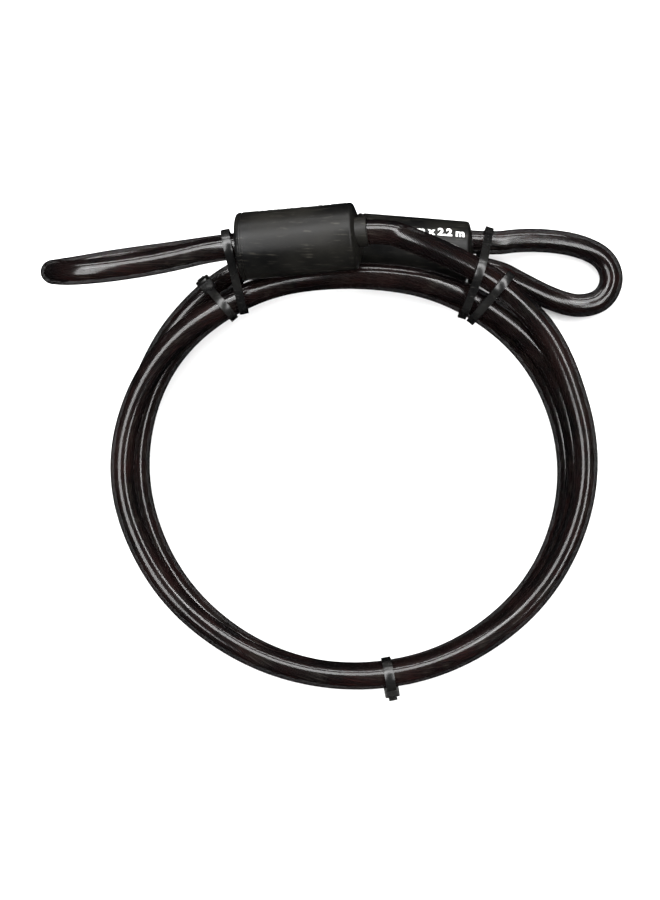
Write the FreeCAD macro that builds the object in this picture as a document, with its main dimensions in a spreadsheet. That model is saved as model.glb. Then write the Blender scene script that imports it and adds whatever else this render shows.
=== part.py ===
import FreeCAD, Part
import math
import os
from FreeCAD import Vector, Placement, Rotation

# Looped-end steel security cable, wound in three turns and tied for storage.
# It lies on its base with +Z up. +X runs from the left eye to the right eye, and the origin is the
# middle of the whole lock's footprint. All lengths are millimetres.

doc = FreeCAD.newDocument("CableLock")

# Driving dimensions
sizes = {
    "cable_dia": 10.0,        # over the vinyl
    "jacket_bore": 7.2,
    "rope_dia": 7.0,
    "leg_spacing": 10.4,      # between the two legs of an eye, side by side in the crimp
    "jacket_entry": 8.0,      # how far the vinyl reaches into a sleeve
    "sleeve_dia": 27.6,
    "sleeve_length": 47.2,    # from the flat end to the foot of the domed end
    "sleeve_dome": 3.2,
    "sleeve_edge": 1.6,       # rounding of the flat end
    "dome_edge": 0.7,
    "collar_dia": 12.4,       # short neck where the long run leaves the sleeve
    "collar_length": 3.4,
    "ferrule_length": 30.0,
    "ferrule_dia": 11.4,      # over one barrel
    "ferrule_bore": 7.1,
    "fit_gap": 0.1,
    "tie_width": 3.4,
    "wide_tie_width": 4.0,    # the tie at the bottom of the coil
    "tie_thick": 1.1,
    "head_long": 6.2,         # tie head along the strap
    "head_wide": 6.2,         # tie head across the strap
    "head_tall": 4.6,
}
sheet = doc.addObject("Spreadsheet::Sheet", "Sizes")
for row, (alias, value) in enumerate(sizes.items(), start=1):
    sheet.set("A%d" % row, alias)
    sheet.set("B%d" % row, str(value))
    sheet.setAlias("B%d" % row, alias)
doc.recompute()


def size(alias):
    return float(sheet.get(alias))


def add(kind, name, placement=None, **expressions):
    """One object whose named properties follow expressions on the sheet."""
    obj = doc.addObject(kind, name)
    for prop, expression in expressions.items():
        obj.setExpression(prop, expression)
    if placement is not None:
        obj.Placement = placement
    return obj


def vectors(points):
    return [Vector(*p) for p in points]


# ---------------------------------------------------------------- where the cable goes
# Each crimp holds the long run straight between its eye side and its exit side.
leftEyeSide = Vector(-41.8, 85.2, 48.8)
leftExit = Vector(8.2, 90.2, 55.2)
rightExit = Vector(6.3, 84.8, 13.6)
rightEyeSide = Vector(55.8, 81.1, 13.6)
leftDeadLeg = Vector(0, 0.2, -1)       # from the long run's barrel to the dead end's barrel
rightDeadLeg = Vector(0.075, 1, 0.03)

# The left eye stands on edge: out along its low leg, round the tip and back along its high leg.
leftEye = vectors([
    (-66.7, 85.4, 27.4),
    (-82.7, 84.0, 22.2),
    (-96.7, 82.2, 20.6),
    (-109.2, 79.8, 21.8),
    (-117.8, 77.3, 30.0),
    (-117.8, 75.6, 41.4),
    (-109.2, 74.3, 49.8),
    (-96.2, 75.1, 51.4),
    (-80.7, 77.3, 51.0),
    (-65.7, 80.4, 49.0),
])
# From the left crimp over the right sleeve and down onto the coil.
firstLead = vectors([
    (28.8, 87.6, 53.4),
    (42.8, 82.6, 47.4),
    (57.3, 76.2, 42.0),
    (71.8, 67.0, 37.6),
])
# From the coil under the left sleeve to the right crimp.
lastLead = vectors([
    (-58.2, 69.5, 12.8),
    (-36.2, 83.3, 12.2),
    (-15.2, 87.0, 12.8),
])
# The right eye lies flat: out along its near leg, round the tip and back.
rightEye = vectors([
    (78.8, 73.9, 9.2),
    (92.3, 67.6, 6.4),
    (104.0, 64.5, 5.4),
    (114.4, 67.4, 5.2),
    (118.7, 76.4, 5.2),
    (115.1, 85.6, 5.4),
    (104.8, 90.7, 6.8),
    (90.8, 92.8, 9.2),
    (76.8, 92.6, 11.8),
])

# The coil, by the clock: each turn's reach from the middle of the coil and its height at each hour.
coilMiddle = Vector(6.2, -5.6, 0)
turns = [
    {2: (99.9, 33.8), 3: (100.6, 28.8), 4: (96.9, 26.6), 5: (91.9, 26.2), 6: (89.2, 27.1),
     7: (90.8, 26.2), 8: (96.1, 24.6), 9: (101.5, 22.8), 10: (97.6, 28.0), 11: (87.5, 30.8),
     12: (82.3, 37.1)},
    {1: (88.4, 35.0), 2: (96.7, 24.0), 3: (98.6, 18.6), 4: (96.5, 16.4), 5: (92.3, 16.0),
     6: (89.6, 16.9), 7: (89.9, 16.0), 8: (92.2, 15.0), 9: (95.0, 14.2), 10: (94.9, 17.9),
     11: (88.8, 20.5), 12: (82.5, 26.9)},
    {1: (86.9, 24.8), 2: (93.3, 13.8), 3: (96.3, 8.4), 4: (95.9, 6.2), 5: (92.7, 5.8),
     6: (90.5, 6.7), 7: (92.1, 5.8), 8: (97.3, 5.4), 9: (102.3, 5.3), 10: (99.0, 8.8)},
]


def coilPoint(hour, reach, height):
    angle = math.radians(30 * hour)
    return coilMiddle + Vector(reach * math.sin(angle), reach * math.cos(angle), height)


coil = [[coilPoint(hour, *lie) for hour, lie in sorted(turn.items())] for turn in turns]

leftWay = (leftExit - leftEyeSide).normalize()
rightWay = (rightEyeSide - rightExit).normalize()


def deadOffset(lean, way):
    """From the long run's barrel to the dead end's, square to the crimp."""
    square = lean - way * lean.dot(way)
    return square.normalize() * size("leg_spacing")


leftDead = deadOffset(leftDeadLeg, leftWay)
rightDead = deadOffset(rightDeadLeg, rightWay)
ropeStop = 1.5                                        # the dead end stands out of its ferrule
ferruleSet = size("jacket_entry") + 0.5               # ferrule's distance from the eye side
deadReach = ferruleSet + size("ferrule_length") + ropeStop

leftDeadEnd = leftEyeSide + leftDead + leftWay * deadReach
rightDeadEnd = rightEyeSide + rightDead - rightWay * deadReach

# The cable leaves a crimp straight, so its first corners outside lie on the crimp's own lines.
stiffOut, stiffBack = 9.5, 9.0
leftEye = ([leftEyeSide + leftDead - leftWay * stiffOut] + leftEye
           + [leftEyeSide - leftWay * stiffOut])
firstLead = [leftExit + leftWay * stiffBack] + firstLead
lastLead = lastLead + [rightExit - rightWay * stiffBack]
rightEye = ([rightEyeSide + rightWay * stiffOut] + rightEye
            + [rightEyeSide + rightDead + rightWay * stiffOut])

route = ([leftDeadEnd] + leftEye + firstLead + [p for turn in coil for p in turn] + lastLead
         + rightEye + [rightDeadEnd])


# ---------------------------------------------------------------- runs and tangent arcs
class Corner:
    """A route point with the arc that rounds it."""

    def __init__(self, before, point, after):
        back, ahead = before - point, after - point
        self.point = point
        half = (math.pi - back.getAngle(ahead)) / 2
        self.turn = 2 * math.degrees(half)
        self.leg = 0.45 * min(back.Length, ahead.Length)
        self.radius = self.leg / math.tan(half)
        self.start = point + back.normalize() * self.leg
        self.end = point + ahead.normalize() * self.leg
        middle = (self.start + self.end) * 0.5 - point
        depth = self.radius / math.cos(half) - self.radius
        self.mid = point + middle.normalize() * depth


corners = [Corner(*route[i - 1:i + 2]) for i in range(1, len(route) - 1)]
print("cable radii:", ", ".join("%.0f" % corner.radius for corner in corners))
print("smallest %.1f mm, largest turn %.0f degrees"
      % (min(c.radius for c in corners), max(c.turn for c in corners)))


def runMiddle(index):
    """Halfway along the run that ends at route[index]."""
    return (route[index - 1] + route[index]) * 0.5


def pathWire(start, first, last, end):
    """From start round corners first to last (route indices) to end."""
    edges, here = [], start
    for index in range(first, last + 1):
        corner = corners[index - 1]
        edges.append(Part.LineSegment(here, corner.start).toShape())
        edges.append(Part.Arc(corner.start, corner.mid, corner.end).toShape())
        here = corner.end
    edges.append(Part.LineSegment(here, end).toShape())
    return Part.Wire(edges)


def sweep(label, wire, bore):
    """A round bar, or a tube where it has a bore, swept along the wire."""
    path = doc.addObject("Part::Feature", label + "_path")
    path.Shape = wire
    start = wire.OrderedEdges[0]
    heading = start.tangentAt(start.FirstParameter)
    placement = Placement(start.valueAt(start.FirstParameter), Rotation(Vector(0, 0, 1), heading))
    edges = ["Edge%d" % (i + 1) for i in range(len(path.Shape.Edges))]

    def round_bar(name, diameter):
        ring = add("Part::Circle", name + "_section", placement, Radius=diameter + " / 2")
        bar = add("Part::Sweep", name)
        bar.Sections = [ring]
        bar.Spine = (path, edges)
        bar.Solid = True
        return bar

    if bore is None:
        piece = round_bar(label + "_bar", "Sizes.rope_dia")
    else:
        outer = round_bar(label + "_outer", "Sizes.cable_dia")
        inner = round_bar(label + "_inner", bore)
        piece = add("Part::Cut", label + "_tube")
        piece.Base, piece.Tool = outer, inner
    piece.Label = label
    return piece


# Route indices where each stretch begins and ends
eyeOut = 1
eyeBack = len(leftEye)
leadIn = eyeBack + 1
turnStarts = [leadIn + len(firstLead)]
for turn in coil:
    turnStarts.append(turnStarts[-1] + len(turn))
lastIn = turnStarts[-1]
rightOut = lastIn + len(lastLead)
rightBack = rightOut + len(rightEye) - 1

entry = size("jacket_entry")
leftEnds = (leftEyeSide + leftDead + leftWay * entry, leftEyeSide + leftWay * entry)
rightEnds = (rightEyeSide - rightWay * entry, rightEyeSide + rightDead - rightWay * entry)
spans = {
    "left_eye_jacket": (leftEnds[0], eyeOut, eyeBack, leftEnds[1]),
    "first_lead_jacket": (leftExit - leftWay * entry, leadIn, turnStarts[0] - 1,
                          runMiddle(turnStarts[0])),
    "last_lead_jacket": (runMiddle(lastIn), lastIn, rightOut - 1, rightExit + rightWay * entry),
    "right_eye_jacket": (rightEnds[0], rightOut, rightBack, rightEnds[1]),
}
for name, begin, stop in zip(("first", "second", "third"), turnStarts, turnStarts[1:]):
    spans[name + "_turn_jacket"] = (runMiddle(begin), begin, stop - 1, runMiddle(stop))

pieces = []
jacketWires = {label: pathWire(*span) for label, span in spans.items()}
for label, wire in jacketWires.items():
    pieces.append(sweep(label, wire, "Sizes.jacket_bore"))

ropeWire = pathWire(leftDeadEnd, 1, len(route) - 2, rightDeadEnd)
pieces.append(sweep("wire_rope", ropeWire, None))


# ---------------------------------------------------------------- crimp ferrules
def crimpPlacement(face, way, dead):
    """X into the sleeve along the long run's barrel, Y towards the dead end's barrel."""
    return Placement(face, Rotation(way, dead, way.cross(dead), "XYZ"))


def ferrule(side, placement, gap, length, name):
    """Two barrels and the web between them. A gap grows it on all sides."""
    alongX = Rotation(Vector(0, 1, 0), 90)
    barrels = []
    for barrel, shift in (("run", 0.0), ("dead", size("leg_spacing"))):
        start = Vector(ferruleSet - gap, shift, 0)
        barrels.append(add("Part::Cylinder", "%s_%s_%s" % (side, name, barrel),
                           Placement(start, alongX),
                           Radius="Sizes.ferrule_dia / 2 + %g" % gap, Height=length))
    web = add("Part::Box", "%s_%s_web" % (side, name),
              Placement(Vector(ferruleSet - gap, 0, -size("ferrule_dia") / 2 - gap), Rotation()),
              Length=length, Width="Sizes.leg_spacing", Height="Sizes.ferrule_dia + %g" % (2 * gap))
    body = add("Part::MultiFuse", "%s_%s_body" % (side, name))
    body.Shapes = barrels + [web]
    body.Placement = placement
    return body


def bores(side, name, placement, cuts):
    """Round cuts along the crimp: each is a start, a length, a shift to the side and a diameter."""
    tools = []
    for count, (start, length, shift, diameter) in enumerate(cuts):
        tools.append(add("Part::Cylinder", "%s_%s_%d" % (side, name, count),
                         Placement(Vector(start, shift, 0), Rotation(Vector(0, 1, 0), 90)),
                         Radius="(%s) / 2" % diameter, Height="%g" % length))
    group = add("Part::MultiFuse", "%s_%s" % (side, name))
    group.Shapes = tools
    group.Placement = placement
    return group


crimps = {
    "left": crimpPlacement(leftEyeSide, leftWay, leftDead),
    "right": crimpPlacement(rightEyeSide, rightWay * -1, rightDead),
}
spacing = size("leg_spacing")
for side, placement in crimps.items():
    body = ferrule(side, placement, 0.0, "Sizes.ferrule_length", "ferrule")
    holes = bores(side, "rope_holes", placement,
                  [(ferruleSet - 1, size("ferrule_length") + 2, shift, "Sizes.ferrule_bore")
                   for shift in (0.0, spacing)])
    piece = add("Part::Cut", side + "_ferrule_cut")
    piece.Base, piece.Tool = body, holes
    piece.Label = side + "_ferrule"
    pieces.append(piece)


# ---------------------------------------------------------------- sleeves over the crimps
def sleeve(side, flatEnd, way, collarEnd):
    """A round sleeve, flat at its left end and domed at its right end, moulded round the crimp."""
    radius, length, dome = size("sleeve_dia") / 2, size("sleeve_length"), size("sleeve_dome")
    domeRadius = (radius ** 2 + dome ** 2) / (2 * dome)
    place = Placement(flatEnd, Rotation(Vector(1, 0, 0), way))  # +X turned onto the way
    alongX = Rotation(Vector(0, 1, 0), 90)
    bar = add("Part::Cylinder", side + "_sleeve_bar", Placement(Vector(), alongX),
              Radius="Sizes.sleeve_dia / 2", Height="Sizes.sleeve_length + Sizes.sleeve_dome")
    ball = add("Part::Sphere", side + "_sleeve_dome",
               Placement(Vector(length + dome - domeRadius, 0, 0), Rotation(Vector(0, 0, 1), 180)),
               Radius="((Sizes.sleeve_dia / 2) ^ 2 + Sizes.sleeve_dome ^ 2) / (2 * Sizes.sleeve_dome)")
    domed = add("Part::Common", side + "_sleeve_domed")
    domed.Base, domed.Tool = bar, ball
    doc.recompute()
    rounded = doc.addObject("Part::Fillet", side + "_sleeve_rounded")
    rounded.Base = domed
    rims = []
    for number, edge in enumerate(domed.Shape.Edges, start=1):
        if edge.Degenerated or edge.Curve.TypeId != "Part::GeomCircle":
            continue
        if abs(edge.Curve.Radius - radius) < 0.01:
            atFlat = edge.CenterOfMass.x < length / 2
            rounding = size("sleeve_edge") if atFlat else size("dome_edge")
            rims.append((number, rounding, rounding))
    rounded.Edges = rims
    rounded.Placement = place

    crimp = crimps[side]
    exitReach = (leftExit - leftEyeSide if side == "left" else rightEyeSide - rightExit).Length
    collar = add("Part::Cylinder", side + "_collar",
                 crimp.multiply(Placement(Vector(collarEnd, 0, 0), alongX)),
                 Radius="Sizes.collar_dia / 2", Height="Sizes.collar_length + 6")
    outside = add("Part::MultiFuse", side + "_sleeve_outside")
    outside.Shapes = [rounded, collar]

    gap = size("fit_gap")
    clear = "Sizes.cable_dia + 2 * Sizes.fit_gap"
    jacketBores = [(-12, 12 + entry + 0.5, shift, clear) for shift in (0.0, spacing)]
    jacketBores.append((exitReach - entry - 0.5, 24, 0.0, clear))
    ropeBores = [(0, exitReach, 0.0, "Sizes.jacket_bore"),
                 (0, deadReach + gap, spacing, "Sizes.jacket_bore")]
    room = bores(side, "cable_room", crimp, jacketBores + ropeBores)
    nest = ferrule(side, crimp, gap, "Sizes.ferrule_length + %g" % (2 * gap), "nest")
    inside = add("Part::MultiFuse", side + "_sleeve_inside")
    inside.Shapes = [room, nest]
    piece = add("Part::Cut", side + "_sleeve_cut")
    piece.Base, piece.Tool = outside, inside
    piece.Label = side + "_sleeve"
    pieces.append(piece)


leftSleeveWay = Vector(47.6, 3.6, 6.4).normalize()
rightSleeveWay = Vector(45.2, -3.4, 0).normalize()
leftSleeveEnd = Vector(-40.4, 85.7, 44.0)
rightSleeveEnd = Vector(7.1, 90.2, 13.8)
runThrough = (leftExit - leftEyeSide).Length
sleeve("left", leftSleeveEnd, leftSleeveWay, runThrough - 6)
sleeve("right", rightSleeveEnd, rightSleeveWay, (rightEyeSide - rightExit).Length - 6)


# ---------------------------------------------------------------- cable ties
def crossings(middle, normal, reach):
    """Where the cable passes through a tie's plane, within reach of its middle."""
    points = ropeWire.discretize(Distance=0.5)
    found = []
    for a, b in zip(points, points[1:]):
        da, db = (a - middle).dot(normal), (b - middle).dot(normal)
        if da * db <= 0 and da != db:
            hit = a + (b - a) * (da / (da - db))
            if (hit - middle).Length < reach:
                found.append(hit)
    return found


def hull(points):
    """The outermost of some flat points, anticlockwise."""
    points = sorted(set(points))
    if len(points) < 3:
        return points

    def chain(ordered):
        out = []
        for p in ordered:
            while len(out) > 1 and ((out[-1][0] - out[-2][0]) * (p[1] - out[-2][1])
                                    - (out[-1][1] - out[-2][1]) * (p[0] - out[-2][0])) <= 0:
                out.pop()
            out.append(p)
        return out[:-1]
    return chain(points) + chain(points[::-1])


def strapOutline(centres, radius):
    """A taut band round some equal circles, in the XY plane."""
    centres = [Vector(x, y, 0) for x, y in hull([(c.x, c.y) for c in centres])]
    edges, count = [], len(centres)
    normals = []
    for i in range(count):
        step = (centres[(i + 1) % count] - centres[i]).normalize()
        normals.append(Vector(step.y, -step.x, 0))
    for i in range(count):
        before, after = normals[i - 1], normals[i]
        start, end = centres[i] + before * radius, centres[i] + after * radius
        middle = before + after
        if middle.Length < 1e-6:
            middle = Vector(-before.y, before.x, 0)
        edges.append(Part.Arc(start, centres[i] + middle.normalize() * radius, end).toShape())
        onward = centres[(i + 1) % count] + after * radius
        edges.append(Part.LineSegment(end, onward).toShape())
    return Part.Wire(edges)


def tie(label, middle, bearing, reach, gap, wide, headAt, tail):
    """A cable tie across strands that run on the bearing: a strap and the head on its flat stretch
    that faces headAt, with the cut tail standing out of it."""
    angle, up = math.radians(bearing), Vector(0, 0, 1)
    normal = Vector(math.cos(angle), math.sin(angle), 0)
    side = up.cross(normal)
    frame = Placement(Vector(*middle), Rotation(side, up, normal, "XYZ"))
    back = frame.inverse()
    strands = [back.multVec(p) for p in crossings(Vector(*middle), normal, reach)]
    centres = [Vector(x, y, 0) for x, y in hull([(p.x, p.y) for p in strands])]
    print("%s holds %d strands" % (label, len(strands)))
    inner, thick = size("cable_dia") / 2 + gap, size("tie_thick")
    band = Part.Face(strapOutline(centres, inner + thick)).cut(
        Part.Face(strapOutline(centres, inner)))
    band.translate(Vector(0, 0, -wide / 2))
    band = band.extrude(Vector(0, 0, wide))

    faces = Vector(math.cos(math.radians(headAt)), math.sin(math.radians(headAt)), 0)
    flats = []
    for here, onward in zip(centres, centres[1:] + centres[:1]):
        run = (onward - here).normalize()
        flats.append((Vector(run.y, -run.x, 0), run, (here + onward) * 0.5))
    out, run, seat = max(flats, key=lambda flat: flat[0].dot(faces))
    long, across, tall = size("head_long"), size("head_wide"), size("head_tall")
    head = Part.makeBox(long, across, tall, Vector(-long / 2, -across / 2, 0))
    head = head.makeFillet(0.6, [e for e in head.Edges if e.BoundBox.ZMax > tall - 0.01])
    stub = Part.makeBox(thick, wide - 0.4, tall + tail, Vector(long * 0.1, 0.2 - wide / 2, 0))
    head = head.fuse(stub)
    head.Placement = Placement(seat + out * (inner + 0.02),
                               Rotation(run, Vector(0, 0, 1), out, "XYZ"))
    piece = doc.addObject("Part::Feature", label)
    piece.Shape = band.fuse(head).removeSplitter().Solids[0]
    piece.Placement = frame
    piece.Label = label
    pieces.append(piece)


narrow, broad = size("tie_width"), size("wide_tie_width")
tie("left_eye_tie", (-42.9, 76.0, 36.0), 12, 24, 0.78, narrow, -20, 1.2)
tie("upper_left_tie", (-49.6, 65.1, 22.0), 40, 24, 0.6, narrow, 50, 0.8)
tie("right_eye_tie", (58.7, 79.8, 24.0), -18, 24, 1.0, narrow, -150, 1.2)
tie("upper_right_tie", (61.8, 64.4, 26.0), -40, 20, 0.75, narrow, 30, 1.0)
tie("bottom_tie", (21.1, -91.0, 16.4), 190, 24, 0.25, broad, 0, 1.5)

# ---------------------------------------------------------------- checks and files
doc.recompute()
for obj in doc.Objects:
    if "Invalid" in obj.State or "Error" in obj.State:
        raise RuntimeError("%s is %s" % (obj.Label, obj.State))
for piece in pieces:
    if piece.Shape.isNull() or not piece.Shape.isValid():
        raise RuntimeError("%s has no good shape" % piece.Label)

cableArea = math.pi / 4 * (size("cable_dia") ** 2 - size("jacket_bore") ** 2)
for label, wire in jacketWires.items():
    volume = next(p for p in pieces if p.Label == label).Shape.Volume
    print("%-20s %.1f mm long, volume over section x length %.4f"
          % (label, wire.Length, volume / (cableArea * wire.Length)))
print("wire rope %.1f mm long" % ropeWire.Length)

box = FreeCAD.BoundBox()
os.makedirs("parts", exist_ok=True)
for piece in pieces:
    box.add(piece.Shape.BoundBox)
    piece.Shape.exportStep("parts/%s.step" % piece.Label)
print("%d parts, box %s" % (len(pieces), box))
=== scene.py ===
import bpy
import math
from mathutils import Matrix, Vector


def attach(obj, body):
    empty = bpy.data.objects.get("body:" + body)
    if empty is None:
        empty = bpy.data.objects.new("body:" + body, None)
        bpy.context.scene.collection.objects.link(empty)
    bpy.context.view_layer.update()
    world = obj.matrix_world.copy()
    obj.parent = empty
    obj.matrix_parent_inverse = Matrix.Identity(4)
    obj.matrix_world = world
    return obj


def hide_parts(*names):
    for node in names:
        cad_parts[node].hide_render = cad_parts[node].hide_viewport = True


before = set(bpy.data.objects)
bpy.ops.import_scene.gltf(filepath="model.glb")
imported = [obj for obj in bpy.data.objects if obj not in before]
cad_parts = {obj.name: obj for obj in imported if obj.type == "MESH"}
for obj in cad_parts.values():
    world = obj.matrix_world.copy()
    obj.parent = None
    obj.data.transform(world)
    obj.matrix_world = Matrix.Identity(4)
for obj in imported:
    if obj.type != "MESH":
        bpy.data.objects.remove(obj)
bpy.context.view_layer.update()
print("frame loaded:", len(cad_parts), "nodes")

camera = {  # straight down on the coil
    "place": (-0.0036, 0.0029, 0.700),
    "lens": 64.4,
    "nearest": 0.01,
}


def addCamera():
    bpy.ops.object.camera_add(location=camera["place"], rotation=(0, 0, 0))
    view = bpy.context.object
    view.data.lens = camera["lens"]
    view.data.clip_start = camera["nearest"]
    bpy.context.scene.camera = view


def clearSelection():
    if bpy.context.object and bpy.context.object.mode != "OBJECT":
        bpy.ops.object.mode_set(mode="OBJECT")
    bpy.ops.object.select_all(action="DESELECT")


def pick(piece):
    clearSelection()
    piece.select_set(True)
    bpy.context.view_layer.objects.active = piece


addCamera()
print("camera set")

# The cable: the long run is held straight in each crimp, between its eye side and its exit.
cable = {
    "diameter": 0.0100,
    "lineSteps": 14,        # drawn steps between two points of a route
    "roundSteps": 10,
    "legSpacing": 0.0104,   # between an eye's two legs in the crimp
    "entry": 0.0080,        # how far the vinyl reaches into a sleeve
    "stiffOut": 0.0095,     # straight past a crimp, on the eye's side
    "stiffBack": 0.0090,    # and on the run's side
    "deadReach": 0.0400,    # the dead end's depth in the sleeve
    "leftEyeSide": Vector((-0.0418, 0.0852, 0.0488)),
    "leftExit": Vector((0.0082, 0.0902, 0.0552)),
    "rightExit": Vector((0.0063, 0.0848, 0.0136)),
    "rightEyeSide": Vector((0.0558, 0.0811, 0.0136)),
    "leftDeadLeg": Vector((0, 0.2, -1)),
    "rightDeadLeg": Vector((0.075, 1, 0.03)),
}
leftEye = [  # on edge: out along the low leg, round the tip, back along the high leg
    (-0.0667, 0.0854, 0.0274), (-0.0827, 0.0840, 0.0222), (-0.0967, 0.0822, 0.0206),
    (-0.1092, 0.0798, 0.0218), (-0.1178, 0.0773, 0.0300), (-0.1178, 0.0756, 0.0414),
    (-0.1092, 0.0743, 0.0498), (-0.0962, 0.0751, 0.0514), (-0.0807, 0.0773, 0.0510),
    (-0.0657, 0.0804, 0.0490),
]
firstLead = [  # over the right sleeve and down onto the coil
    (0.0288, 0.0876, 0.0534), (0.0428, 0.0826, 0.0474), (0.0573, 0.0762, 0.0420),
    (0.0718, 0.0670, 0.0376),
]
lastLead = [  # under the left sleeve to the right crimp
    (-0.0582, 0.0695, 0.0128), (-0.0362, 0.0833, 0.0122), (-0.0152, 0.0870, 0.0128),
]
rightEye = [  # flat: out along the near leg, round the tip and back
    (0.0788, 0.0739, 0.0092), (0.0923, 0.0676, 0.0064), (0.1040, 0.0645, 0.0054),
    (0.1144, 0.0674, 0.0052), (0.1187, 0.0764, 0.0052), (0.1151, 0.0856, 0.0054),
    (0.1048, 0.0907, 0.0068), (0.0908, 0.0928, 0.0092), (0.0768, 0.0926, 0.0118),
]
coil = {
    "middle": Vector((0.0062, -0.0056, 0)),
    "turns": [  # by the clock: reach from the middle, height
        {2: (0.0999, 0.0338), 3: (0.1006, 0.0288), 4: (0.0969, 0.0266), 5: (0.0919, 0.0262),
         6: (0.0892, 0.0271), 7: (0.0908, 0.0262), 8: (0.0961, 0.0246), 9: (0.1015, 0.0228),
         10: (0.0976, 0.0280), 11: (0.0875, 0.0308), 12: (0.0823, 0.0371)},
        {1: (0.0884, 0.0350), 2: (0.0967, 0.0240), 3: (0.0986, 0.0186), 4: (0.0965, 0.0164),
         5: (0.0923, 0.0160), 6: (0.0896, 0.0169), 7: (0.0899, 0.0160), 8: (0.0922, 0.0150),
         9: (0.0950, 0.0142), 10: (0.0949, 0.0179), 11: (0.0888, 0.0205), 12: (0.0825, 0.0269)},
        {1: (0.0869, 0.0248), 2: (0.0933, 0.0138), 3: (0.0963, 0.0084), 4: (0.0959, 0.0062),
         5: (0.0927, 0.0058), 6: (0.0905, 0.0067), 7: (0.0921, 0.0058), 8: (0.0973, 0.0054),
         9: (0.1023, 0.0053), 10: (0.0990, 0.0088)},
    ],
}


def coilPoint(hour, reach, height):
    angle = math.radians(30 * hour)
    return coil["middle"] + Vector((reach * math.sin(angle), reach * math.cos(angle), height))


def deadOffset(lean, way):
    square = lean - way * lean.dot(way)
    return square.normalized() * cable["legSpacing"]


leftWay = (cable["leftExit"] - cable["leftEyeSide"]).normalized()
rightWay = (cable["rightEyeSide"] - cable["rightExit"]).normalized()
leftDead = deadOffset(cable["leftDeadLeg"], leftWay)
rightDead = deadOffset(cable["rightDeadLeg"], rightWay)
entry, stiffOut, stiffBack = cable["entry"], cable["stiffOut"], cable["stiffBack"]

leftEyeRoute = [
    cable["leftEyeSide"] + leftDead + leftWay * entry,
    cable["leftEyeSide"] + leftDead - leftWay * stiffOut,
    *leftEye,
    cable["leftEyeSide"] - leftWay * stiffOut,
    cable["leftEyeSide"] + leftWay * entry,
]
runRoute = [
    cable["leftExit"] - leftWay * entry,
    cable["leftExit"] + leftWay * stiffBack,
    *firstLead,
    *[coilPoint(hour, *lie) for turn in coil["turns"] for hour, lie in sorted(turn.items())],
    *lastLead,
    cable["rightExit"] - rightWay * stiffBack,
    cable["rightExit"] + rightWay * entry,
]
rightEyeRoute = [
    cable["rightEyeSide"] - rightWay * entry,
    cable["rightEyeSide"] + rightWay * stiffOut,
    *rightEye,
    cable["rightEyeSide"] + rightDead + rightWay * stiffOut,
    cable["rightEyeSide"] + rightDead - rightWay * entry,
]
deadEnds = (
    cable["leftEyeSide"] + leftDead + leftWay * cable["deadReach"],
    cable["rightEyeSide"] + rightDead - rightWay * cable["deadReach"],
)


def cordLine(name, route):
    curve = bpy.data.curves.new(name, "CURVE")
    curve.dimensions = "3D"
    curve.resolution_u = cable["lineSteps"]
    spline = curve.splines.new("NURBS")
    spline.points.add(len(route) - 1)
    for point, place in zip(spline.points, route):
        point.co = (*place, 1)
    spline.order_u = 3
    spline.use_endpoint_u = True
    piece = bpy.data.objects.new(name, curve)
    bpy.context.collection.objects.link(piece)
    return piece


def linePoints(piece):
    lineMesh = bpy.data.meshes.new_from_object(piece)
    places = [vertex.co.copy() for vertex in lineMesh.vertices]
    bpy.data.meshes.remove(lineMesh)
    return places


jackets = {
    "leftEyeJacket": {
        "route": leftEyeRoute, "nodes": ["left_eye_jacket"], "lay": "loose", "length": 0.1905,
        "exit": cable["leftEyeSide"] + leftDead,
    },
    "runJacket": {
        "route": runRoute, "lay": "coiled", "length": 1.744, "exit": cable["leftExit"],
        "nodes": ["first_lead_jacket", "first_turn_jacket", "second_turn_jacket",
                  "third_turn_jacket", "last_lead_jacket"],
    },
    "rightEyeJacket": {
        "route": rightEyeRoute, "nodes": ["right_eye_jacket"], "lay": "loose", "length": 0.1577,
        "exit": cable["rightEyeSide"],
    },
}
ropeLine = [deadEnds[0]]
for name, jacket in jackets.items():
    jacket["piece"] = cordLine(name, jacket["route"])
    ropeLine += linePoints(jacket["piece"])
    tube = jacket["piece"].data
    tube.bevel_depth = cable["diameter"] / 2
    tube.bevel_resolution = cable["roundSteps"]
    tube.use_fill_caps = True
ropeLine.append(deadEnds[1])
print("jackets laid:", len(ropeLine), "line points")

# The wire rope inside the vinyl: six strands laid round a core.
rope = {
    "strandRadius": 0.00120,
    "layRadius": 0.00236,
    "lay": 0.052,           # length of one full turn
    "step": 0.0019,
    "strands": 6,
    "roundSteps": 2,
    "wires": 7,             # seen round each strand
    "wireTurns": 190,       # of a strand's wires, over the whole rope
}


def evenly(line, step):
    spaced, carried = [line[0]], 0.0
    for here, onward in zip(line, line[1:]):
        run = (onward - here).length
        while carried + run >= step:
            here = here.lerp(onward, (step - carried) / run)
            run = (onward - here).length
            spaced.append(here.copy())
            carried = 0.0
        carried += run
    return spaced


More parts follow.
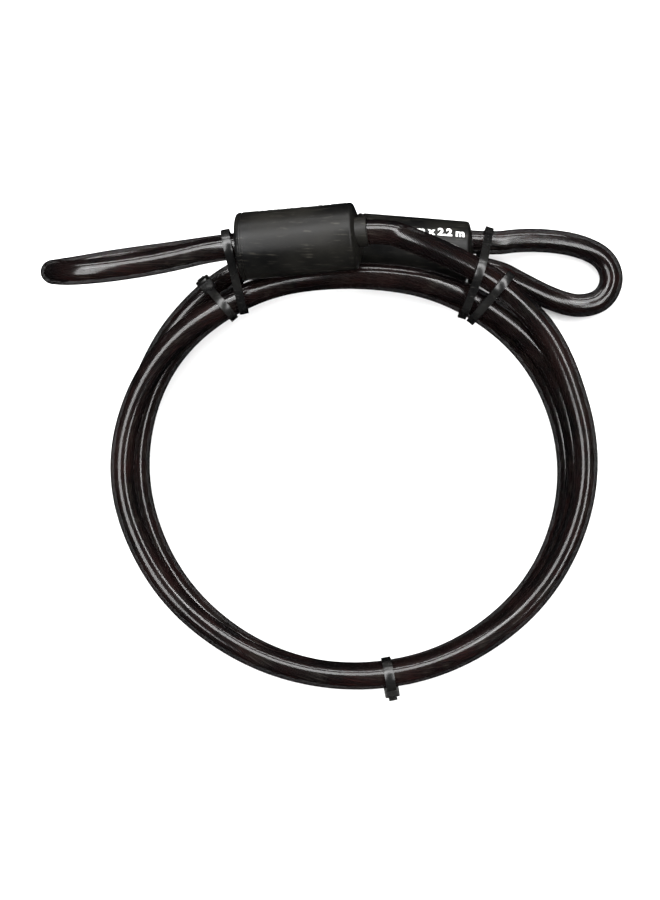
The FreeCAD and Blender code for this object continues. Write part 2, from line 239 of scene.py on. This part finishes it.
def addRope():
    line = evenly(ropeLine, rope["step"])
    side = (line[1] - line[0]).orthogonal().normalized()
    sides = []
    for index in range(len(line)):
        ahead = line[min(index + 1, len(line) - 1)] - line[max(index - 1, 0)]
        ahead.normalize()
        side = (side - ahead * side.dot(ahead)).normalized()
        sides.append((side, ahead.cross(side)))
    curve = bpy.data.curves.new("wireRope", "CURVE")
    curve.dimensions = "3D"
    for strand in range(rope["strands"] + 1):
        spline = curve.splines.new("POLY")
        spline.points.add(len(line) - 1)
        reach = 0 if strand == rope["strands"] else rope["layRadius"]
        for index, (middle, (across, up)) in enumerate(zip(line, sides)):
            angle = 2 * math.pi * (strand / rope["strands"] + index * rope["step"] / rope["lay"])
            place = middle + across * (reach * math.cos(angle)) + up * (reach * math.sin(angle))
            spline.points[index].co = (*place, 1)
    curve.bevel_depth = rope["strandRadius"]
    curve.bevel_resolution = rope["roundSteps"]
    curve.use_fill_caps = True
    piece = bpy.data.objects.new("wireRope", curve)
    bpy.context.collection.objects.link(piece)
    pick(piece)
    bpy.ops.object.convert(target="MESH")
    bpy.ops.object.shade_smooth()
    return bpy.context.object


wireRope = addRope()
print("rope laid:", len(wireRope.data.polygons), "faces")

# The moulded sleeves over the crimps: flat at the left end, domed at the right.
sleeve = {
    "profile": [  # along the sleeve from its flat end, radius
        (0.0000, 0.0062), (0.0000, 0.0118), (0.00012, 0.01285), (0.0005, 0.01345),
        (0.0012, 0.01375), (0.0017, 0.01380), (0.0019, 0.01345), (0.0026, 0.01345),
        (0.0028, 0.01380), (0.0120, 0.01378), (0.0240, 0.01374), (0.0360, 0.01366),
        (0.0464, 0.01359), (0.0471, 0.01346), (0.0476, 0.01305), (0.0482, 0.0116),
        (0.0491, 0.0088), (0.0498, 0.0058), (0.0502, 0.0028),
    ],
    "around": 96,
    "collarRadius": 0.0061,
    "collarLength": 0.0034,
    "collarInside": 0.006,  # its root, buried in the sleeve
    "collarLip": [(-0.0004, 0), (-0.0001, -0.0002), (0, -0.0006)],  # from its tip, off its radius
    "collarAround": 64,
    "boreRadius": 0.00515,
    "boreBeyond": 0.012,    # the cutter's reach past the sleeve's face
    "boreAround": 48,
    "smoothUnder": 32,      # degrees between faces
}
sleeves = {
    "leftSleeve": {
        "node": "left_sleeve", "start": Vector((-0.0404, 0.0857, 0.0440)),
        "way": Vector((47.6, 3.6, 6.4)).normalized(),
        "eyeSide": cable["leftEyeSide"], "exit": cable["leftExit"],
        "out": leftWay, "dead": leftDead,
    },
    "rightSleeve": {
        "node": "right_sleeve", "start": Vector((0.0071, 0.0902, 0.0138)),
        "way": Vector((45.2, -3.4, 0)).normalized(),
        "eyeSide": cable["rightEyeSide"], "exit": cable["rightExit"],
        "out": -rightWay, "dead": rightDead,
    },
}


def turnedBar(name, profile, around):
    # a ring is added and extruded step by step along X, and both ends are closed
    clearSelection()
    bpy.ops.mesh.primitive_circle_add(vertices=around, radius=profile[0][1],
                                      fill_type="NOTHING", location=(profile[0][0], 0, 0),
                                      rotation=(0, math.pi / 2, 0))
    piece = bpy.context.object
    piece.name = name
    bpy.ops.object.transform_apply(location=True, rotation=True, scale=True)
    bpy.ops.object.mode_set(mode="EDIT")
    bpy.ops.mesh.select_all(action="SELECT")
    bpy.ops.mesh.edge_face_add()
    for (x0, r0), (x1, r1) in zip(profile, profile[1:]):
        bpy.ops.mesh.extrude_region_move(TRANSFORM_OT_translate={"value": (x1 - x0, 0, 0)})
        grow = r1 / r0
        bpy.ops.transform.resize(value=(1, grow, grow), center_override=(x1, 0, 0))
    bpy.ops.mesh.select_all(action="SELECT")
    bpy.ops.mesh.normals_make_consistent(inside=False)
    bpy.ops.object.mode_set(mode="OBJECT")
    return piece


def layAlong(piece, start, way):
    turn = Vector((1, 0, 0)).rotation_difference(way).to_matrix().to_4x4()
    piece.matrix_world = Matrix.Translation(start) @ turn
    pick(piece)
    bpy.ops.object.transform_apply(location=True, rotation=True, scale=True)


def joinSolids(piece, tool, operation):
    pick(piece)
    joint = piece.modifiers.new("solids", "BOOLEAN")
    joint.operation = operation
    joint.solver = "EXACT"
    joint.object = tool
    bpy.ops.object.modifier_apply(modifier="solids")
    bpy.data.objects.remove(tool)


def boreOut(piece, start, way, length):
    clearSelection()
    bpy.ops.mesh.primitive_cylinder_add(vertices=sleeve["boreAround"], radius=sleeve["boreRadius"],
                                        depth=length, location=(length / 2, 0, 0),
                                        rotation=(0, math.pi / 2, 0))
    cutter = bpy.context.object
    bpy.ops.object.transform_apply(location=True, rotation=True, scale=True)
    layAlong(cutter, start, way)
    joinSolids(piece, cutter, "DIFFERENCE")


def addSleeve(name, fit):
    piece = turnedBar(name, sleeve["profile"], sleeve["around"])
    layAlong(piece, fit["start"], fit["way"])
    radius, length = sleeve["collarRadius"], sleeve["collarLength"]
    lip = [(length + back, radius + thinner) for back, thinner in sleeve["collarLip"]]
    collar = turnedBar(name + "Collar", [(-sleeve["collarInside"], radius), *lip],
                       sleeve["collarAround"])
    layAlong(collar, fit["exit"], fit["out"])
    joinSolids(piece, collar, "UNION")
    deep = cable["entry"] + sleeve["boreBeyond"]
    boreOut(piece, fit["exit"] - fit["out"] * cable["entry"], fit["out"], deep)
    for shift in (Vector((0, 0, 0)), fit["dead"]):
        boreOut(piece, fit["eyeSide"] + shift + fit["out"] * cable["entry"], -fit["out"], deep)
    pick(piece)
    bpy.ops.object.shade_smooth_by_angle(angle=math.radians(sleeve["smoothUnder"]))
    return piece


for name, fit in sleeves.items():
    fit["piece"] = addSleeve(name, fit)
    print(name, "moulded:", len(fit["piece"].data.polygons), "faces")

# Cable ties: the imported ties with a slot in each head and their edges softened.
ties = {
    "heads": {  # the foot of each head, along its strap, and outwards
        "left_eye_tie": {
            "name": "leftEyeTie", "at": (-0.04550, 0.08821, 0.02335),
            "run": (-0.0649, 0.3052, 0.9501), "out": (-0.1975, 0.9293, -0.3120),
        },
        "upper_left_tie": {
            "name": "upperLeftTie", "at": (-0.05436, 0.07078, 0.02425),
            "run": (0.3335, -0.3975, 0.8549), "out": (-0.5495, 0.6549, 0.5188),
        },
        "right_eye_tie": {
            "name": "rightEyeTie", "at": (0.05555, 0.07011, 0.01303),
            "run": (0.2694, 0.8293, -0.4896), "out": (-0.1513, -0.4656, -0.8719),
        },
        "upper_right_tie": {
            "name": "upperRightTie", "at": (0.06624, 0.06969, 0.02735),
            "run": (0.3454, 0.4117, 0.8433), "out": (0.5421, 0.6460, -0.5374),
        },
        "bottom_tie": {
            "name": "bottomTie", "at": (0.02220, -0.09722, 0.01687),
            "run": (-0.0093, 0.0529, 0.9986), "out": (0.1734, -0.9834, 0.0538),
        },
    },
    "slot": (0.0027, 0.0034, 0.0034),     # beside the cut tail, where the catch sits
    "slotAt": (-0.00075, 0, 0.0046),
    "catch": (0.0012, 0.0024, 0.0020),
    "catchAt": (-0.00150, 0, 0.0030),
    "mergeWithin": 0.00002,
    "flatUnder": 1,         # degrees between faces
    "soften": 0.00018,
    "softenSteps": 2,
    "softenOver": 40,       # degrees
    "smoothUnder": 35,      # degrees
}


def headBlock(head, size, place):
    along, out = Vector(head["run"]).normalized(), Vector(head["out"]).normalized()
    clearSelection()
    bpy.ops.mesh.primitive_cube_add(size=1, location=place, scale=size)
    block = bpy.context.object
    bpy.ops.object.transform_apply(location=True, rotation=True, scale=True)
    turn = Matrix((along, out.cross(along), out)).transposed().to_4x4()
    block.matrix_world = Matrix.Translation(head["at"]) @ turn
    return block


def addTie(node, head):
    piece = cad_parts[node].copy()
    piece.data = piece.data.copy()
    piece.name = head["name"]
    piece.parent = None
    piece.matrix_world = Matrix.Identity(4)
    piece.data.materials.clear()
    bpy.context.collection.objects.link(piece)
    pick(piece)
    bpy.ops.object.mode_set(mode="EDIT")
    bpy.ops.mesh.select_all(action="SELECT")
    bpy.ops.mesh.remove_doubles(threshold=ties["mergeWithin"])
    bpy.ops.mesh.dissolve_limited(angle_limit=math.radians(ties["flatUnder"]))
    bpy.ops.object.mode_set(mode="OBJECT")
    joinSolids(piece, headBlock(head, ties["slot"], ties["slotAt"]), "DIFFERENCE")
    joinSolids(piece, headBlock(head, ties["catch"], ties["catchAt"]), "UNION")
    pick(piece)
    soft = piece.modifiers.new("soft", "BEVEL")
    soft.width = ties["soften"]
    soft.segments = ties["softenSteps"]
    soft.limit_method = "ANGLE"
    soft.angle_limit = math.radians(ties["softenOver"])
    bpy.ops.object.modifier_apply(modifier="soft")
    bpy.ops.object.shade_smooth_by_angle(angle=math.radians(ties["smoothUnder"]))
    return piece


tiePieces = {node: addTie(node, head) for node, head in ties["heads"].items()}
print("ties softened")

# Printed size marks, pad printed on the sleeves.
prints = {
    "text": "10 mm x 2.2 m",
    "letter": 0.0050,
    "bolder": 0.0002,
    "cuts": 2,              # so that the letters can wrap round
    "lift": 0.00004,
    "thick": 0.00003,
    "rightSleeve": {"from": 0.0300, "round": 29},  # its middle along the sleeve, degrees round
    "leftSleeve": {"from": 0.0240, "round": 78},
}


def radiusAt(reach):
    for (x0, r0), (x1, r1) in zip(sleeve["profile"], sleeve["profile"][1:]):
        if x0 <= reach < x1:
            return r0 + (r1 - r0) * (reach - x0) / (x1 - x0)


def addPrint(name, on):
    fit, place = sleeves[on], prints[on]
    clearSelection()
    bpy.ops.object.text_add()
    piece = bpy.context.object
    piece.name = name
    piece.data.body = prints["text"]
    piece.data.size = prints["letter"]
    piece.data.align_x = "CENTER"
    piece.data.align_y = "CENTER"
    piece.data.offset = prints["bolder"]
    bpy.ops.object.convert(target="MESH")
    piece = bpy.context.object
    bpy.ops.object.mode_set(mode="EDIT")
    bpy.ops.mesh.select_all(action="SELECT")
    bpy.ops.mesh.subdivide(number_cuts=prints["cuts"])
    bpy.ops.object.mode_set(mode="OBJECT")
    acrossAxis = Vector((0, 0, 1)).cross(fit["way"]).normalized()
    upAxis = fit["way"].cross(acrossAxis)
    for vertex in piece.data.vertices:
        radius = radiusAt(place["from"] + vertex.co.x) + prints["lift"]
        angle = math.radians(place["round"]) + vertex.co.y / radius
        out = upAxis * math.cos(angle) + acrossAxis * math.sin(angle)
        reach = fit["start"] + fit["way"] * (place["from"] + vertex.co.x)
        vertex.co = reach + out * radius
    pick(piece)
    body = piece.modifiers.new("body", "SOLIDIFY")
    body.thickness = prints["thick"]
    body.offset = 1
    bpy.ops.object.modifier_apply(modifier="body")
    return piece


printPieces = [addPrint("rightPrint", "rightSleeve"), addPrint("leftPrint", "leftSleeve")]
print("marks printed")


def makeVinyl():
    finish = bpy.data.materials.new("smokedVinyl")
    finish.use_nodes = True
    nodes, links = finish.node_tree.nodes, finish.node_tree.links
    nodes.clear()
    colourFrame = nodes.new("NodeFrame")
    colourFrame.label = "Smoke tint"
    glossFrame = nodes.new("NodeFrame")
    glossFrame.label = "Gloss and haze"
    output = nodes.new("ShaderNodeOutputMaterial")
    output.label = "Jacket surface"
    skin = nodes.new("ShaderNodeBsdfPrincipled")
    skin.label = "Smoked vinyl"
    where = nodes.new("ShaderNodeTexCoord")
    where.label = "Place on the cable"
    tintNoise = nodes.new("ShaderNodeTexNoise")
    tintNoise.label = "Uneven tint"
    tintNoise.parent = colourFrame
    tint = nodes.new("ShaderNodeValToRGB")
    tint.label = "Black to red brown"
    tint.parent = colourFrame
    edge = nodes.new("ShaderNodeLayerWeight")
    edge.label = "Deeper through the edge"
    edge.parent = colourFrame
    density = nodes.new("ShaderNodeMapRange")
    density.label = "Smoke density"
    density.parent = colourFrame
    hazeNoise = nodes.new("ShaderNodeTexNoise")
    hazeNoise.label = "Handling haze"
    hazeNoise.parent = glossFrame
    haze = nodes.new("ShaderNodeMapRange")
    haze.label = "Haze to roughness"
    haze.parent = glossFrame
    rippleNoise = nodes.new("ShaderNodeTexNoise")
    rippleNoise.label = "Extrusion ripple"
    rippleNoise.parent = glossFrame
    ripple = nodes.new("ShaderNodeBump")
    ripple.label = "Ripple in the gloss"
    ripple.parent = glossFrame
    for place, node in enumerate(list(nodes)):
        node.location = (place % 4 * 260 - 900, place // 4 * -320 + 400)

    tintNoise.inputs["Scale"].default_value = 60
    tintNoise.inputs["Detail"].default_value = 4
    tint.color_ramp.elements[0].position = 0.40
    tint.color_ramp.elements[0].color = (0.0022, 0.0018, 0.0019, 1)
    tint.color_ramp.elements[1].position = 0.70
    tint.color_ramp.elements[1].color = (0.0065, 0.0034, 0.0032, 1)
    edge.inputs["Blend"].default_value = 0.35
    density.inputs["To Min"].default_value = 0.80
    density.inputs["To Max"].default_value = 0.99
    hazeNoise.inputs["Scale"].default_value = 38
    hazeNoise.inputs["Detail"].default_value = 5
    haze.inputs["From Min"].default_value = 0.3
    haze.inputs["From Max"].default_value = 0.7
    haze.inputs["To Min"].default_value = 0.11
    haze.inputs["To Max"].default_value = 0.20
    rippleNoise.inputs["Scale"].default_value = 70
    rippleNoise.inputs["Detail"].default_value = 1
    ripple.inputs["Strength"].default_value = 0.08
    ripple.inputs["Distance"].default_value = 0.0008
    skin.inputs["IOR"].default_value = 1.5

    links.new(where.outputs["Object"], tintNoise.inputs["Vector"])
    links.new(where.outputs["Object"], hazeNoise.inputs["Vector"])
    links.new(where.outputs["Object"], rippleNoise.inputs["Vector"])
    links.new(tintNoise.outputs["Fac"], tint.inputs["Fac"])
    links.new(tint.outputs["Color"], skin.inputs["Base Color"])
    links.new(edge.outputs["Facing"], density.inputs["Value"])
    links.new(density.outputs["Result"], skin.inputs["Alpha"])
    links.new(hazeNoise.outputs["Fac"], haze.inputs["Value"])
    links.new(haze.outputs["Result"], skin.inputs["Roughness"])
    links.new(rippleNoise.outputs["Fac"], ripple.inputs["Height"])
    links.new(ripple.outputs["Normal"], skin.inputs["Normal"])
    links.new(skin.outputs["BSDF"], output.inputs["Surface"])
    return finish


def makeStrandSteel():
    finish = bpy.data.materials.new("strandSteel")
    finish.use_nodes = True
    nodes, links = finish.node_tree.nodes, finish.node_tree.links
    nodes.clear()
    wireFrame = nodes.new("NodeFrame")
    wireFrame.label = "Wires in each strand"
    colourFrame = nodes.new("NodeFrame")
    colourFrame.label = "Grease and rust"
    output = nodes.new("ShaderNodeOutputMaterial")
    output.label = "Rope surface"
    steel = nodes.new("ShaderNodeBsdfPrincipled")
    steel.label = "Greased steel wire"
    where = nodes.new("ShaderNodeTexCoord")
    where.label = "Place on the strand"
    split = nodes.new("ShaderNodeSeparateXYZ")
    split.label = "Along and round"
    split.parent = wireFrame
    along = nodes.new("ShaderNodeMath")
    along.label = "Wire turns along"
    along.parent = wireFrame
    around = nodes.new("ShaderNodeMath")
    around.label = "Wires round plus turns"
    around.parent = wireFrame
    wave = nodes.new("ShaderNodeMath")
    wave.label = "Wire crowns"
    wave.parent = wireFrame
    crowns = nodes.new("ShaderNodeBump")
    crowns.label = "Raised wires"
    crowns.parent = wireFrame
    greaseNoise = nodes.new("ShaderNodeTexNoise")
    greaseNoise.label = "Grease patches"
    greaseNoise.parent = colourFrame
    grease = nodes.new("ShaderNodeValToRGB")
    grease.label = "Steel, grease and brown"
    grease.parent = colourFrame
    dull = nodes.new("ShaderNodeMapRange")
    dull.label = "Grease to roughness"
    dull.parent = colourFrame
    for place, node in enumerate(list(nodes)):
        node.location = (place % 4 * 260 - 900, place // 4 * -320 + 400)

    along.operation = "MULTIPLY"
    along.inputs[1].default_value = rope["wireTurns"] * 2 * math.pi
    around.operation = "MULTIPLY_ADD"
    around.inputs[1].default_value = rope["wires"] * 2 * math.pi
    wave.operation = "SINE"
    crowns.inputs["Strength"].default_value = 0.7
    crowns.inputs["Distance"].default_value = 0.0004
    greaseNoise.inputs["Scale"].default_value = 90
    greaseNoise.inputs["Detail"].default_value = 5
    ramp = grease.color_ramp
    ramp.elements[0].position = 0.32
    ramp.elements[0].color = (0.16, 0.034, 0.028, 1)
    ramp.elements[1].position = 0.72
    ramp.elements[1].color = (0.34, 0.30, 0.25, 1)
    middle = ramp.elements.new(0.52)
    middle.color = (0.10, 0.065, 0.055, 1)
    dull.inputs["To Min"].default_value = 0.30
    dull.inputs["To Max"].default_value = 0.48
    steel.inputs["Metallic"].default_value = 0.85

    links.new(where.outputs["UV"], split.inputs["Vector"])
    links.new(split.outputs["X"], along.inputs[0])
    links.new(split.outputs["Y"], around.inputs[0])
    links.new(along.outputs["Value"], around.inputs[2])
    links.new(around.outputs["Value"], wave.inputs[0])
    links.new(wave.outputs["Value"], crowns.inputs["Height"])
    links.new(crowns.outputs["Normal"], steel.inputs["Normal"])
    links.new(where.outputs["Object"], greaseNoise.inputs["Vector"])
    links.new(greaseNoise.outputs["Fac"], grease.inputs["Fac"])
    links.new(grease.outputs["Color"], steel.inputs["Base Color"])
    links.new(greaseNoise.outputs["Fac"], dull.inputs["Value"])
    links.new(dull.outputs["Result"], steel.inputs["Roughness"])
    links.new(steel.outputs["BSDF"], output.inputs["Surface"])
    return finish


def makeMoulded(name, dark, light, smooth, rough, grain, shine, metal=0.0):
    scuffPaler = 5  # a scuff's colour, in times the light one
    finish = bpy.data.materials.new(name)
    finish.use_nodes = True
    nodes, links = finish.node_tree.nodes, finish.node_tree.links
    nodes.clear()
    colourFrame = nodes.new("NodeFrame")
    colourFrame.label = "Smudges"
    grainFrame = nodes.new("NodeFrame")
    grainFrame.label = "Moulded grain"
    output = nodes.new("ShaderNodeOutputMaterial")
    output.label = "Moulded surface"
    plastic = nodes.new("ShaderNodeBsdfPrincipled")
    plastic.label = "Moulded plastic"
    plastic.inputs["Specular IOR Level"].default_value = shine
    plastic.inputs["Metallic"].default_value = metal
    where = nodes.new("ShaderNodeTexCoord")
    where.label = "Place on the piece"
    smudgeNoise = nodes.new("ShaderNodeTexNoise")
    smudgeNoise.label = "Handling smudges"
    smudgeNoise.parent = colourFrame
    smudge = nodes.new("ShaderNodeValToRGB")
    smudge.label = "Clean to rubbed"
    smudge.parent = colourFrame
    rubbed = nodes.new("ShaderNodeMapRange")
    rubbed.label = "Rubbed to roughness"
    rubbed.parent = colourFrame
    scuffFrame = nodes.new("NodeFrame")
    scuffFrame.label = "Scuffs"
    stretch = nodes.new("ShaderNodeMapping")
    stretch.label = "Long in X"
    stretch.parent = scuffFrame
    scuffNoise = nodes.new("ShaderNodeTexNoise")
    scuffNoise.label = "Fine scuffs"
    scuffNoise.parent = scuffFrame
    deepest = nodes.new("ShaderNodeMapRange")
    deepest.label = "Only the deepest"
    deepest.parent = scuffFrame
    scuffed = nodes.new("ShaderNodeMix")
    scuffed.label = "Scuffs over the colour"
    scuffed.parent = scuffFrame
    grainNoise = nodes.new("ShaderNodeTexNoise")
    grainNoise.label = "Fine grain"
    grainNoise.parent = grainFrame
    raised = nodes.new("ShaderNodeBump")
    raised.label = "Grain height"
    raised.parent = grainFrame
    for place, node in enumerate(list(nodes)):
        node.location = (place % 4 * 260 - 900, place // 4 * -320 + 400)

    smudgeNoise.inputs["Scale"].default_value = 55
    smudgeNoise.inputs["Detail"].default_value = 6
    smudge.color_ramp.elements[0].position = 0.38
    smudge.color_ramp.elements[0].color = (*dark, 1)
    smudge.color_ramp.elements[1].position = 0.70
    smudge.color_ramp.elements[1].color = (*light, 1)
    rubbed.inputs["From Min"].default_value = 0.3
    rubbed.inputs["From Max"].default_value = 0.7
    rubbed.inputs["To Min"].default_value = smooth
    rubbed.inputs["To Max"].default_value = rough
    stretch.inputs["Scale"].default_value = (0.25, 2.2, 2.2)
    scuffNoise.inputs["Scale"].default_value = 420
    scuffNoise.inputs["Detail"].default_value = 6
    scuffNoise.inputs["Roughness"].default_value = 0.65
    deepest.inputs["From Min"].default_value = 0.57
    deepest.inputs["From Max"].default_value = 0.82
    scuffed.data_type = "RGBA"
    scuffed.inputs["B"].default_value = (*[part * scuffPaler for part in light], 1)
    grainNoise.inputs["Scale"].default_value = 2200
    grainNoise.inputs["Detail"].default_value = 3
    raised.inputs["Strength"].default_value = grain
    raised.inputs["Distance"].default_value = 0.0002

    links.new(where.outputs["Object"], smudgeNoise.inputs["Vector"])
    links.new(where.outputs["Object"], grainNoise.inputs["Vector"])
    links.new(smudgeNoise.outputs["Fac"], smudge.inputs["Fac"])
    links.new(where.outputs["Object"], stretch.inputs["Vector"])
    links.new(stretch.outputs["Vector"], scuffNoise.inputs["Vector"])
    links.new(scuffNoise.outputs["Fac"], deepest.inputs["Value"])
    links.new(deepest.outputs["Result"], scuffed.inputs["Factor"])
    links.new(smudge.outputs["Color"], scuffed.inputs["A"])
    links.new(scuffed.outputs["Result"], plastic.inputs["Base Color"])
    links.new(smudgeNoise.outputs["Fac"], rubbed.inputs["Value"])
    links.new(rubbed.outputs["Result"], plastic.inputs["Roughness"])
    links.new(grainNoise.outputs["Fac"], raised.inputs["Height"])
    links.new(raised.outputs["Normal"], plastic.inputs["Normal"])
    links.new(plastic.outputs["BSDF"], output.inputs["Surface"])
    return finish


vinyl = makeVinyl()
strandSteel = makeStrandSteel()
sleevePlastic = makeMoulded("sleevePlastic", dark=(0.0024, 0.0024, 0.0024),
                            light=(0.0080, 0.0075, 0.0062), smooth=0.26, rough=0.42,
                            grain=0.25, shine=0.16)
tieNylon = makeMoulded("tieNylon", dark=(0.0040, 0.0040, 0.0041), light=(0.0090, 0.0088, 0.0082),
                       smooth=0.20, rough=0.32, grain=0.12, shine=0.5)
printInk = makeMoulded("printInk", dark=(0.62, 0.62, 0.60), light=(0.80, 0.80, 0.79),
                       smooth=0.45, rough=0.60, grain=0.10, shine=0.4)
ferruleMetal = makeMoulded("ferruleMetal", dark=(0.50, 0.50, 0.51), light=(0.62, 0.62, 0.63),
                           smooth=0.35, rough=0.5, grain=0.2, shine=0.5, metal=1.0)


def dress(piece, finish):
    piece.data.materials.clear()
    piece.data.materials.append(finish)


for name, jacket in jackets.items():
    dress(jacket["piece"], vinyl)
    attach(jacket["piece"], "root")
    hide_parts(*jacket["nodes"])
dress(wireRope, strandSteel)
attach(wireRope, "root")
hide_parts("wire_rope")
for fit in sleeves.values():
    dress(fit["piece"], sleevePlastic)
    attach(fit["piece"], "root")
    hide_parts(fit["node"])
for node, piece in tiePieces.items():
    dress(piece, tieNylon)
    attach(piece, "root")
    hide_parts(node)
for piece in printPieces:
    dress(piece, printInk)
    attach(piece, "root")
for node in ("left_ferrule", "right_ferrule"):
    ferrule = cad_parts[node]
    ferrule.data.materials.clear()
    ferrule.data.materials.append(ferruleMetal)
print("pieces dressed")

studio = {
    "floor": 3.0,
    "paper": (0.93, 0.93, 0.93, 1),
    "paperRough": 0.9,
    "sky": 1.0,
    "lamps": [  # where, where it points, size, watts
        {"at": (-0.40, 0.05, 0.85), "to": (0, 0, 0), "size": (0.90, 0.36), "watts": 9},
        {"at": (0.42, 0.05, 0.85), "to": (0, 0, 0), "size": (0.90, 0.20), "watts": 6},
        {"at": (0.0, 0.66, 0.90), "to": (0, 0.05, 0), "size": (1.1, 0.46), "watts": 15},
        {"at": (0.0, 1.05, 0.50), "to": (0, 0.05, 0), "size": (1.3, 0.14), "watts": 7},
    ],
}


def makePaper():
    finish = bpy.data.materials.new("whitePaper")
    finish.use_nodes = True
    nodes, links = finish.node_tree.nodes, finish.node_tree.links
    nodes.clear()
    output = nodes.new("ShaderNodeOutputMaterial")
    output.label = "Floor surface"
    output.location = (300, 0)
    paper = nodes.new("ShaderNodeBsdfPrincipled")
    paper.label = "White paper"
    paper.location = (0, 0)
    paper.inputs["Base Color"].default_value = studio["paper"]
    paper.inputs["Roughness"].default_value = studio["paperRough"]
    links.new(paper.outputs["BSDF"], output.inputs["Surface"])
    return finish


def addStudio():
    clearSelection()
    bpy.ops.mesh.primitive_plane_add(size=studio["floor"], location=(0, 0, 0))
    floor = bpy.context.object
    floor.name = "floor"
    floor.data.materials.append(makePaper())
    floor.visible_glossy = False  # the gloss shows the lamps, not the paper
    world = bpy.data.worlds.new("studioSky")
    world.use_nodes = True
    sky = world.node_tree.nodes["Background"]
    sky.inputs["Color"].default_value = (1, 1, 1, 1)
    sky.inputs["Strength"].default_value = studio["sky"]
    world.cycles_visibility.glossy = False
    bpy.context.scene.world = world
    bpy.context.scene.view_settings.view_transform = "Standard"
    for lamp in studio["lamps"]:
        bpy.ops.object.light_add(type="AREA", location=lamp["at"])
        light = bpy.context.object
        light.data.shape = "RECTANGLE"
        light.data.size, light.data.size_y = lamp["size"]
        light.data.energy = lamp["watts"]
        aim = Vector(lamp["to"]) - Vector(lamp["at"])
        light.rotation_euler = aim.to_track_quat("-Z", "Y").to_euler()


addStudio()
print("studio lit")
